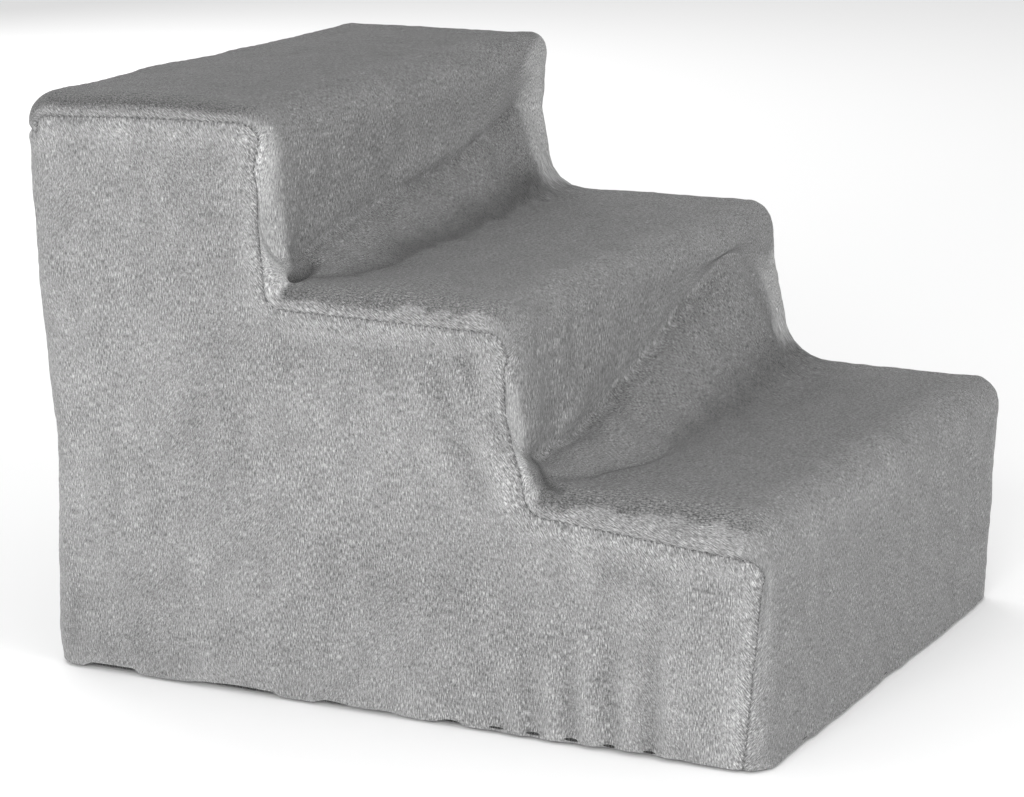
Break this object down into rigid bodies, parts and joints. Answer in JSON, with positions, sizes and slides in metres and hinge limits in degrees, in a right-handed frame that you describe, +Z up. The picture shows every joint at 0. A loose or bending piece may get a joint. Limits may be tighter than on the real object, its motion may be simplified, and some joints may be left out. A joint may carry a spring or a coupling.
{
  "type": "pet stair",
  "caption": "Free-standing stair for a small pet: a pegged plastic frame with foam tread pads under a loose plush cover whose hem flaps fold under the base.",
  "frame": {"origin": "on the floor, in the middle of the stair's footprint", "axes": "+Z up, X across the treads with +X to the right of a pet walking up, +Y the way the stair climbs"},
  "size_m": [0.4, 0.5148, 0.376],
  "materials": {
    "plush": "short dense plush pile, matt with a soft sheen along the lie of the pile",
    "hem_flap": "plush strip with a woven loop face",
    "hook_strip": "black hook tape",
    "foam": "open-cell foam",
    "frame_plastic": "moulded, fine grain",
    "peg_plastic": "moulded",
    "foot_rubber": "matt"
  },
  "bodies": {
    "stair": {"back_cover": "plush", "bottom_tread_board": "frame_plastic", "bottom_tread_pad": "foam", "bottom_tread_peg_front_left": "peg_plastic", "bottom_tread_peg_front_right": "peg_plastic", "bottom_tread_peg_rear_left": "peg_plastic", "bottom_tread_peg_rear_right": "peg_plastic", "front_base_rail": "frame_plastic", "front_base_rail_peg_left": "peg_plastic", "front_base_rail_peg_right": "peg_plastic", "front_board_peg_lower_left": "peg_plastic", "front_board_peg_lower_right": "peg_plastic", "front_board_peg_upper_left": "peg_plastic", "front_board_peg_upper_right": "peg_plastic", "front_foot_left": "foot_rubber", "front_foot_right": "foot_rubber", "front_hook_strip": "hook_strip", "front_riser_board": "frame_plastic", "left_hook_strip": "hook_strip", "left_side_cover": "plush", "left_side_panel": "frame_plastic", "middle_base_rail": "frame_plastic", "middle_base_rail_peg_left": "peg_plastic", "middle_base_rail_peg_right": "peg_plastic", "middle_foot_left": "foot_rubber", "middle_foot_right": "foot_rubber", "middle_tread_board": "frame_plastic", "middle_tread_pad": "foam", "middle_tread_peg_front_left": "peg_plastic", "middle_tread_peg_front_right": "peg_plastic", "middle_tread_peg_rear_left": "peg_plastic", "middle_tread_peg_rear_right": "peg_plastic", "rear_base_rail": "frame_plastic", "rear_base_rail_peg_left": "peg_plastic", "rear_base_rail_peg_right": "peg_plastic", "rear_foot_left": "foot_rubber", "rear_foot_right": "foot_rubber", "rear_hook_strip": "hook_strip", "rear_lower_rail": "frame_plastic", "rear_lower_rail_peg_left": "peg_plastic", "rear_lower_rail_peg_right": "peg_plastic", "rear_upper_rail": "frame_plastic", "rear_upper_rail_peg_left": "peg_plastic", "rear_upper_rail_peg_right": "peg_plastic", "right_hook_strip": "hook_strip", "right_side_cover": "plush", "right_side_panel": "frame_plastic", "step_cover": "plush", "top_tread_board": "frame_plastic", "top_tread_pad": "foam", "top_tread_peg_front_left": "peg_plastic", "top_tread_peg_front_right": "peg_plastic", "top_tread_peg_rear_left": "peg_plastic", "top_tread_peg_rear_right": "peg_plastic"},
    "left_flap": {"left_hem_flap": "hem_flap"},
    "right_flap": {"right_hem_flap": "hem_flap"},
    "front_flap": {"front_hem_flap": "hem_flap"},
    "rear_flap": {"rear_hem_flap": "hem_flap"}
  },
  "joints": [
    {"name": "left_flap_fold", "type": "hinge", "parent": "stair", "child": "left_flap", "pos_m": [-0.2, 0, 0.003], "axis": [0, 1, 0], "range_deg": [0, 180]},
    {"name": "right_flap_fold", "type": "hinge", "parent": "stair", "child": "right_flap", "pos_m": [0.2, 0, 0.003], "axis": [0, -1, 0], "range_deg": [0, 180]},
    {"name": "front_flap_fold", "type": "hinge", "parent": "stair", "child": "front_flap", "pos_m": [0, -0.252, 0.003], "axis": [-1, 0, 0], "range_deg": [0, 180]},
    {"name": "rear_flap_fold", "type": "hinge", "parent": "stair", "child": "rear_flap", "pos_m": [0, 0.254, 0.003], "axis": [1, 0, 0], "range_deg": [0, 180]}
  ]
}
